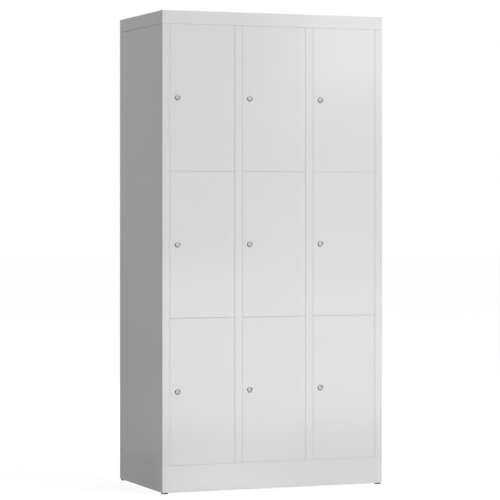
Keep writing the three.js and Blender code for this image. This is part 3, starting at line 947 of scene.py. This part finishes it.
def makeFoot(corner):
    centre = footPlace(corner)
    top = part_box(f"foot_pad_{corner}")[1].z
    r, shoulder = pad["radius"], top - pad["shoulderDrop"]
    socket, floor = pad["socketRadius"], pad["socketFloor"]
    bm = bmesh.new()
    profile = [(0, 0), (r - pad["footRound"], 0), (r, pad["footRise"]), (r, shoulder),
               (r - pad["shoulderWidth"], top), (socket + pad["mouthWidth"], top),
               (socket, top - pad["mouthDepth"]), (socket, floor), (0, floor)]
    spinProfile(bm, profile, centre, zAxis, pad["steps"])
    roundRing(bm, centre, zAxis, r, shoulder, pad["shoulderRound"], someSteps)
    bmesh.ops.recalc_face_normals(bm, faces=bm.faces)
    makePiece(f"foot_base_{corner}", bm, f"foot_pad_{corner}")
    makeStud(corner, centre)


def makeStud(corner, centre):
    low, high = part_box(f"foot_stud_{corner}")
    r, pitch, root = stud["radius"], stud["threadPitch"], stud["radius"] - stud["threadDepth"]
    profile = [(0, low.z), (root, low.z)]
    z = low.z + stud["threadEnd"]
    while z + pitch < high.z - stud["threadEnd"]:
        profile += [(root, z), (r, z + pitch / 2)]
        z += pitch
    profile += [(root, z), (root - stud["tipTaper"], high.z), (0, high.z)]
    bm = bmesh.new()
    spinProfile(bm, profile, centre, zAxis, stud["steps"])
    bmesh.ops.recalc_face_normals(bm, faces=bm.faces)
    long, wide = stud["slotHalfLength"], stud["slotHalfWidth"]
    slot = startBlock(centre + Vector((-long, -wide, high.z - stud["slotDepth"])),
                      centre + Vector((long, wide, high.z + stud["cutPast"])))
    makePiece(f"foot_screw_{corner}", bm, f"foot_stud_{corner}", cutters=[solidFrom(slot)])


for corner in corners:
    makeFoot(corner)
print("feet made")


# White surroundings with softboxes at the right, overhead and behind, a weak light from beside the
# camera, and a small one low in front, which lifts the foot of the doors. The sheen and the low
# strip show only in the gloss. The cards without "matt" are only mirrored: two at the sides, and
# two on the floor before the doors, the far one dark and the near one pale, which the locks show.
# The matt ones lie on the floor too, and only diffuse light sees them: a pale one before the doors,
# and two dark ones that shade the left side.
studio = {
    "fill": 0.21,  # what the white surroundings give to diffuse light
    "floorGlow": 0.94,  # the floor as the camera sees it, before the light that falls on it
    "shownTone": 0.2,  # how strongly that floor shows light and shadow
    "floorTone": 0.6,  # the floor as the object sees it
    "floorHalf": 40,
    "lights": {
        "key": {"place": (5.97, -5.33, 5.24), "target": (0.77, 0.62, 1.84), "size": (7.6, 7.0),
                "radiance": 3.68, "unseenBy": "gloss"},
        "eye": {"place": (-3.3, -8.3, 1.3), "target": (0.0, 0.0, 0.95), "size": (2.0, 2.0),
                "radiance": 4.8, "unseenBy": "gloss"},
        "sheen": {"place": (4.3, -7.5, 2.75), "target": (0.2, -0.25, 1.5), "size": (2.2, 1.7),
                  "radiance": 2.2, "unseenBy": "matt"},
        "top": {"place": (0.7, 1.2, 5.2), "target": (0.0, 0.1, 1.8), "size": (2.2, 2.2),
                "radiance": 3.0},
        "front": {"place": (-0.1, -3.0, 0.2), "target": (-0.1, -0.25, 0.3), "size": (0.7, 0.4),
                  "radiance": 16.4, "unseenBy": "gloss"},
        "rear": {"place": (1.2, 4.6, 2.2), "target": (0.3, 0.25, 0.9), "size": (3.0, 2.2),
                 "radiance": 3.2, "unseenBy": "gloss"},
        "strip": {"place": (1.0, -2.75, 0.395), "target": (0.0, -0.25, 0.395), "size": (2.6, 0.73),
                  "radiance": 1.12, "unseenBy": "matt"},
    },
    "cards": {
        "cardLeft": {"low": (-3.0, -4.2, 0.0), "high": (-3.0, -0.4, 2.6), "tone": 0.1},
        "cardRight": {"low": (3.0, -2.2, 0.0), "high": (3.0, -0.3, 2.6), "tone": 0.1},
        "cardFar": {"low": (-1.8, -2.3, 0.002), "high": (1.8, -0.9, 0.002), "tone": 0.3},
        "cardNear": {"low": (-1.2, -0.9, 0.002), "high": (1.6, -0.27, 0.002), "tone": 0.7},
        "floorGlint": {"low": (-0.45, -0.8, 0.003), "high": (0.0, -0.27, 0.003), "tone": 0.63,
                       "matt": True},
        "floorFlag": {"low": (-3.2, -0.25, 0.004), "high": (-0.47, 1.2, 0.004), "tone": 0.0,
                      "matt": True},
        "cornerFlag": {"low": (-2.4, -0.8, 0.004), "high": (-0.6, -0.25, 0.004), "tone": 0.2,
                       "matt": True},
    },
}


def shownRay(tree):  # 1 for the rays that show the surroundings: camera, glossy and transmission
    path = tree.nodes.new("ShaderNodeLightPath")
    shown = path.outputs["Is Camera Ray"]
    for label in ("Is Glossy Ray", "Is Transmission Ray"):
        either = tree.nodes.new("ShaderNodeMath")
        either.operation = "MAXIMUM"
        link(tree, shown, either.inputs[0])
        link(tree, path.outputs[label], either.inputs[1])
        shown = either.outputs["Value"]
    return shown


def makeWorld():
    world = bpy.data.worlds.new("studioWhite")
    bpy.context.scene.world = world
    world.use_nodes = True
    tree = world.node_tree
    background = tree.nodes["Background"]
    background.inputs["Color"].default_value = (1, 1, 1, 1)
    strength = remap(tree, shownRay(tree), 0.0, 1.0, studio["fill"], 1.0)
    link(tree, strength, background.inputs["Strength"])


def makeStage(name, bm, material):
    mesh = bpy.data.meshes.new(name)
    bm.to_mesh(mesh)
    bm.free()
    mesh.materials.append(material)
    prop = bpy.data.objects.new(name, mesh)
    bpy.context.scene.collection.objects.link(prop)
    return prop


def startMaterial(name):
    material = bpy.data.materials.new(name)
    material.use_nodes = True
    tree = material.node_tree
    tree.nodes.remove(tree.nodes["Principled BSDF"])
    return material, tree, tree.nodes["Material Output"].inputs["Surface"]


def greyDiffuse(tree, tone):
    diffuse = tree.nodes.new("ShaderNodeBsdfDiffuse")
    diffuse.inputs["Color"].default_value = (tone, tone, tone, 1)
    return diffuse.outputs["BSDF"]


def emission(tree, strength):
    glow = tree.nodes.new("ShaderNodeEmission")
    glow.inputs["Strength"].default_value = strength
    return glow.outputs["Emission"]


def makeFloor():
    material, tree, surface = startMaterial("floorWhite")
    shown = tree.nodes.new("ShaderNodeAddShader")
    link(tree, greyDiffuse(tree, studio["shownTone"]), shown.inputs[0])
    link(tree, emission(tree, studio["floorGlow"]), shown.inputs[1])
    mix = tree.nodes.new("ShaderNodeMixShader")
    link(tree, shownRay(tree), mix.inputs["Fac"])
    link(tree, greyDiffuse(tree, studio["floorTone"]), mix.inputs[1])
    link(tree, shown.outputs["Shader"], mix.inputs[2])
    link(tree, mix.outputs["Shader"], surface)
    bm = bmesh.new()
    bmesh.ops.create_grid(bm, x_segments=1, y_segments=1, size=studio["floorHalf"])
    makeStage("floor", bm, material)


def makeCard(name, values):
    material, tree, surface = startMaterial(name)
    link(tree, emission(tree, values["tone"]), surface)
    lowest, highest = Vector(values["low"]), Vector(values["high"])
    size = highest - lowest
    bm = bmesh.new()
    bmesh.ops.create_grid(bm, x_segments=1, y_segments=1, size=0.5)  # one metre across
    if size.x == 0:
        upright = Matrix.Rotation(math.radians(90), 3, "Y")
        bmesh.ops.rotate(bm, verts=bm.verts, cent=(0, 0, 0), matrix=upright)
    bmesh.ops.scale(bm, vec=[part or 1 for part in size], verts=bm.verts)
    bmesh.ops.translate(bm, vec=(lowest + highest) / 2, verts=bm.verts)
    card = makeStage(name, bm, material)
    card.visible_camera = False
    card.visible_shadow = False
    card.visible_transmission = False
    card.visible_diffuse = values.get("matt", False)
    card.visible_glossy = not card.visible_diffuse


def makeLight(name, values):
    data = bpy.data.lights.new(name, "AREA")
    data.shape = "RECTANGLE"
    data.size, data.size_y = values["size"]
    data.energy = values["radiance"] * math.pi * data.size * data.size_y
    light = bpy.data.objects.new(name, data)
    light.location = values["place"]
    aim = Vector(values["target"]) - Vector(values["place"])
    light.rotation_euler = aim.to_track_quat("-Z", "Y").to_euler()
    light.visible_camera = False
    light.visible_diffuse = values.get("unseenBy") != "matt"
    light.visible_glossy = values.get("unseenBy") != "gloss"
    bpy.context.scene.collection.objects.link(light)


makeWorld()
makeFloor()
for name, values in studio["cards"].items():
    makeCard(name, values)
for name, values in studio["lights"].items():
    makeLight(name, values)
bpy.context.scene.view_settings.view_transform = "Standard"
print("studio made")
